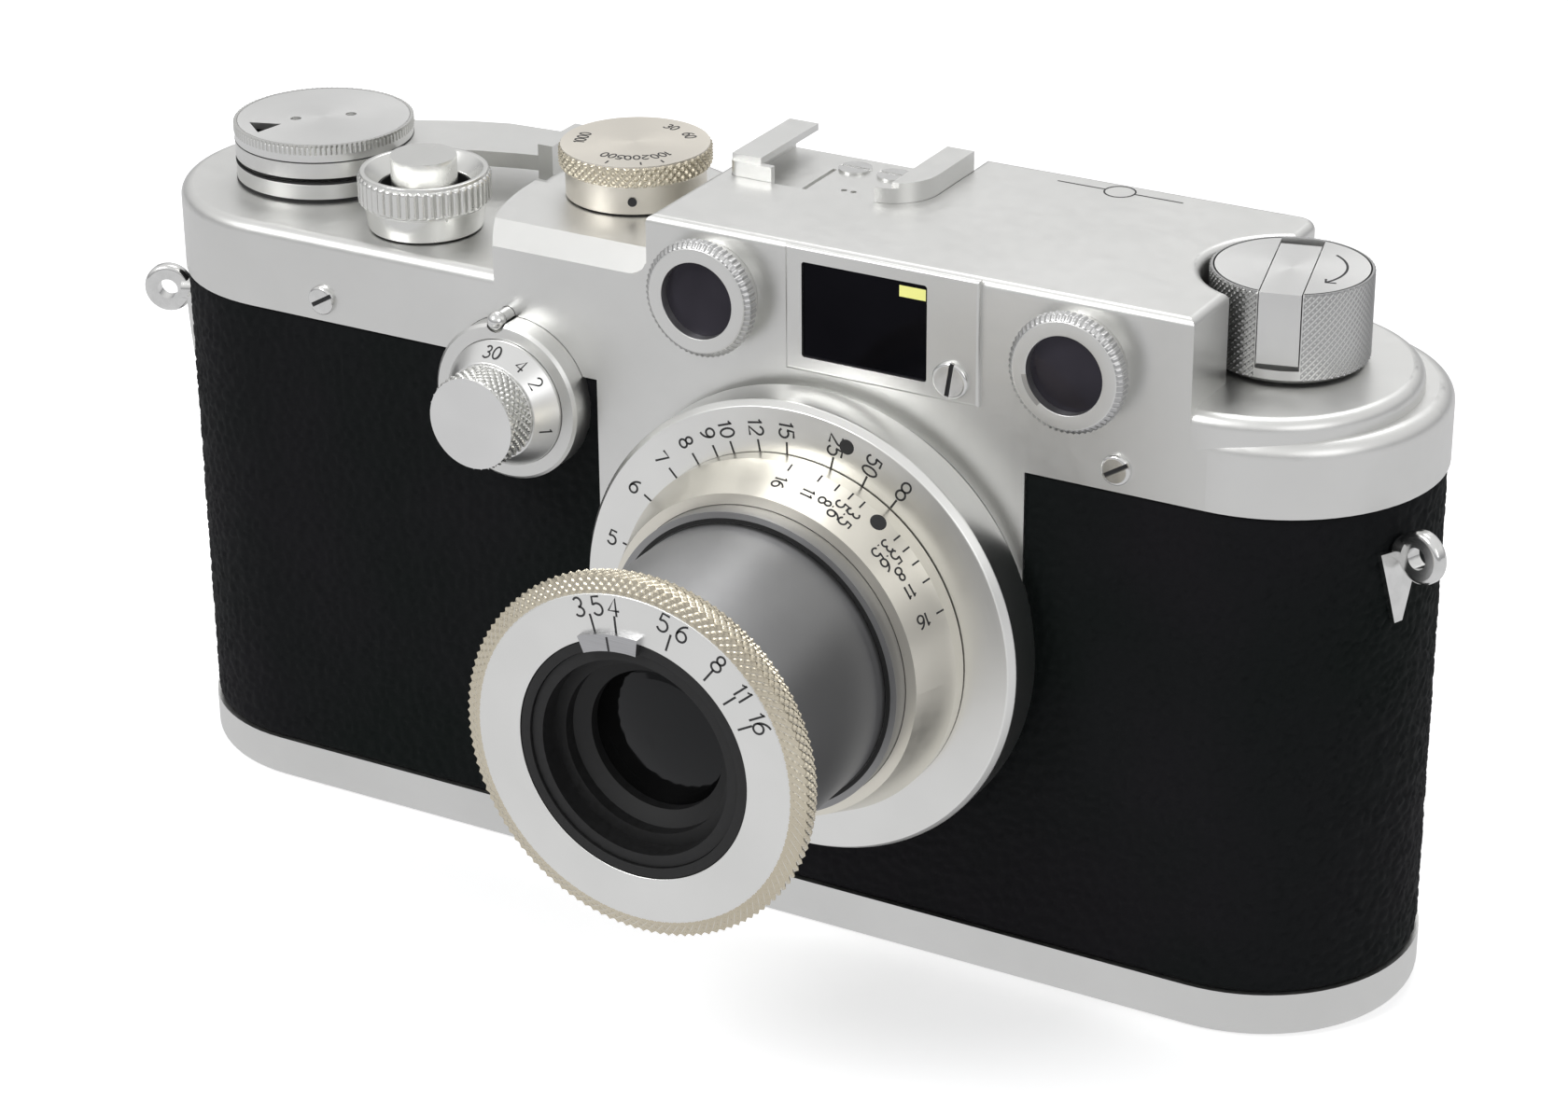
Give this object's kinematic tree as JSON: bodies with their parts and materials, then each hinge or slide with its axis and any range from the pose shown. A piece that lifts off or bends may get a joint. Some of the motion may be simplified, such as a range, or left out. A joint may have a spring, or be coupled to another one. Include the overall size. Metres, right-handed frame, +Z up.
{
  "type": "rangefinder camera",
  "caption": "35 mm rangefinder camera with round-ended body, top wind lever, screw-mount collapsible lens, accessory shoe and drop-away base plate.",
  "frame": {"origin": "middle of the base plate's underside, on the camera's centre line", "axes": "+X along the body towards the rewind end, -Y out of the lens, +Z up"},
  "size_m": [0.1436, 0.0705, 0.0737],
  "materials": {
    "satin_chrome": "fine satin chrome plate",
    "lens_silver": "bright satin",
    "black_leather": "fine grained",
    "steel": "ground",
    "brass": "machined",
    "blackened": "matt black",
    "glass": "coated",
    "cloth": "rubberised shutter cloth"
  },
  "bodies": {
    "camera_body": {"body_shell": "blackened", "leather_covering": "black_leather", "top_cover": "satin_chrome", "shutter_crate": "blackened", "lens_mount_ring": "satin_chrome", "accessory_shoe": "satin_chrome", "accessory_shoe_screws": "satin_chrome", "cover_screws": "satin_chrome", "viewfinder_plate": "satin_chrome", "viewfinder_window": "glass", "rangefinder_bezel_left": "satin_chrome", "rangefinder_bezel_right": "satin_chrome", "rangefinder_glass_left": "glass", "rangefinder_glass_right": "glass", "viewfinder_eyepiece": "blackened", "rangefinder_eyepiece": "blackened", "viewfinder_eyepiece_lens": "glass", "rangefinder_eyepiece_lens": "glass", "finder_block": "blackened", "wind_base_ring": "satin_chrome", "slow_dial_base": "satin_chrome", "strap_lug_left": "satin_chrome", "strap_lug_right": "satin_chrome", "flash_sync_socket": "satin_chrome", "first_curtain": "cloth", "second_curtain": "cloth", "film_pressure_plate": "blackened", "lens_flange": "lens_silver", "release_spring": "steel"},
    "wind_lever": {"wind_lever": "satin_chrome", "counter_cap": "satin_chrome", "wind_gear": "steel"},
    "idler_gear": {"idler_gear": "steel"},
    "sprocket": {"sprocket_shaft": "steel"},
    "take_up_spool": {"take_up_spool": "blackened"},
    "counter_dial": {"counter_dial": "blackened"},
    "curtain_drum": {"curtain_drum": "blackened"},
    "speed_spindle": {"speed_spindle": "steel"},
    "speed_dial": {"speed_dial": "satin_chrome"},
    "release_collar": {"release_collar": "satin_chrome"},
    "release_button": {"release_button": "satin_chrome"},
    "slow_dial": {"slow_dial": "satin_chrome"},
    "slow_dial_lock_pin": {"slow_dial_lock_pin": "satin_chrome"},
    "rewind_shaft": {"rewind_fork": "steel"},
    "rewind_knob": {"rewind_knob": "satin_chrome", "rewind_crank_pin": "satin_chrome"},
    "rewind_crank": {"rewind_crank": "satin_chrome"},
    "rangefinder_arm": {"rangefinder_arm": "steel"},
    "base_plate": {"base_plate": "satin_chrome", "tripod_socket": "satin_chrome"},
    "base_lock_key": {"base_lock_key": "satin_chrome"},
    "focus_ring": {"focus_ring": "lens_silver"},
    "helicoid_sleeve": {"helicoid_sleeve": "brass"},
    "lens_tube": {"lens_tube": "steel", "front_ring": "lens_silver", "lens_cone": "blackened", "front_element": "glass", "rear_element": "glass"},
    "aperture": {"aperture_ring": "lens_silver", "iris_diaphragm": "blackened"}
  },
  "joints": [
    {"name": "wind_lever_turn", "type": "hinge", "parent": "camera_body", "child": "wind_lever", "pos_m": [-0.0534, 0, 0.066], "axis": [0, 0, 1], "range_deg": [0, 150], "stiffness_Nm_per_rad": 0.01},
    {"name": "idler_turn", "type": "hinge", "parent": "camera_body", "child": "idler_gear", "pos_m": [-0.0421, -0.00404, 0.0564], "axis": [0, 0, 1], "range_deg": [-225, 0]},
    {"name": "sprocket_turn", "type": "hinge", "parent": "camera_body", "child": "sprocket", "pos_m": [-0.03424, 0.00463, 0.031], "axis": [0, 0, 1], "range_deg": [0, 360]},
    {"name": "spool_turn", "type": "hinge", "parent": "camera_body", "child": "take_up_spool", "pos_m": [-0.0534, 0, 0.031], "axis": [0, 0, 1], "range_deg": [0, 337.5]},
    {"name": "counter_turn", "type": "hinge", "parent": "camera_body", "child": "counter_dial", "pos_m": [-0.0534, 0, 0.0674], "axis": [0, 0, 1], "range_deg": [0, 9]},
    {"name": "drum_turn", "type": "hinge", "parent": "camera_body", "child": "curtain_drum", "pos_m": [-0.0164, 0.0003, 0.031], "axis": [0, 0, 1], "range_deg": [0, 330]},
    {"name": "speed_set_turn", "type": "hinge", "parent": "curtain_drum", "child": "speed_spindle", "pos_m": [-0.0164, 0.0003, 0.06], "axis": [0, 0, 1], "range_deg": [0, 300]},
    {"name": "speed_dial_lift", "type": "slide", "parent": "speed_spindle", "child": "speed_dial", "axis": [0, 0, 1], "range_m": [0, 0.0015], "stiffness_N_per_m": 400},
    {"name": "release_collar_turn", "type": "hinge", "parent": "camera_body", "child": "release_collar", "pos_m": [-0.03584, -0.00791, 0.0655], "axis": [0, 0, 1], "range_deg": [0, 60]},
    {"name": "release_button_press", "type": "slide", "parent": "camera_body", "child": "release_button", "axis": [0, 0, -1], "range_m": [0, 0.002], "stiffness_N_per_m": 500, "deforming": ["release_spring"]},
    {"name": "slow_dial_turn", "type": "hinge", "parent": "camera_body", "child": "slow_dial", "pos_m": [-0.0203, -0.018, 0.05065], "axis": [0, -1, 0], "range_deg": [0, 200]},
    {"name": "slow_dial_lock_press", "type": "slide", "parent": "camera_body", "child": "slow_dial_lock_pin", "axis": [0, 1, 0], "range_m": [0, 0.001], "stiffness_N_per_m": 300},
    {"name": "rewind_turn", "type": "hinge", "parent": "camera_body", "child": "rewind_shaft", "pos_m": [0.0528, 0, 0.067], "axis": [0, 0, 1], "continuous": true},
    {"name": "rewind_knob_lift", "type": "slide", "parent": "rewind_shaft", "child": "rewind_knob", "axis": [0, 0, 1], "range_m": [0, 0.004]},
    {"name": "rewind_crank_fold", "type": "hinge", "parent": "rewind_knob", "child": "rewind_crank", "pos_m": [0.05154, 0.00505, 0.0711], "axis": [-0.9703, -0.2419, 0], "range_deg": [0, 150]},
    {"name": "rangefinder_arm_turn", "type": "hinge", "parent": "camera_body", "child": "rangefinder_arm", "pos_m": [-0.0066, -0.0075, 0.05], "axis": [0, 0, -1], "range_deg": [0, 7.1]},
    {"name": "base_plate_swing", "type": "hinge", "parent": "camera_body", "child": "base_plate", "pos_m": [-0.068, 0, 0.0049], "axis": [0, 1, 0], "range_deg": [0, 25]},
    {"name": "base_lock_key_turn", "type": "hinge", "parent": "base_plate", "child": "base_lock_key", "pos_m": [0.052, 0, 0.001], "axis": [0, 0, -1], "range_deg": [0, 180]},
    {"name": "focus_turn", "type": "hinge", "parent": "camera_body", "child": "focus_ring", "pos_m": [0.0134, -0.022, 0.0355], "axis": [0, -1, 0], "range_deg": [0, 157]},
    {"name": "focus_travel", "type": "slide", "parent": "focus_ring", "child": "helicoid_sleeve", "axis": [0, -1, 0], "range_m": [0, 0.0025]},
    {"name": "tube_collapse", "type": "slide", "parent": "helicoid_sleeve", "child": "lens_tube", "axis": [0, 1, 0], "range_m": [0, 0.0175]},
    {"name": "aperture_turn", "type": "hinge", "parent": "lens_tube", "child": "aperture", "pos_m": [0.0134, -0.05, 0.0355], "axis": [0, 1, 0], "range_deg": [-7, 71]}
  ],
  "couplings": [
    {"joint": "idler_turn", "follows": "wind_lever_turn", "ratio": -1.5},
    {"joint": "sprocket_turn", "follows": "wind_lever_turn", "ratio": 2.4},
    {"joint": "spool_turn", "follows": "wind_lever_turn", "ratio": 2.25},
    {"joint": "counter_turn", "follows": "wind_lever_turn", "ratio": 0.06},
    {"joint": "drum_turn", "follows": "wind_lever_turn", "ratio": 2.2},
    {"joint": "focus_travel", "follows": "focus_turn", "m_per_rad": 0.0009087},
    {"joint": "rangefinder_arm_turn", "follows": "focus_turn", "ratio": 0.044586}
  ]
}
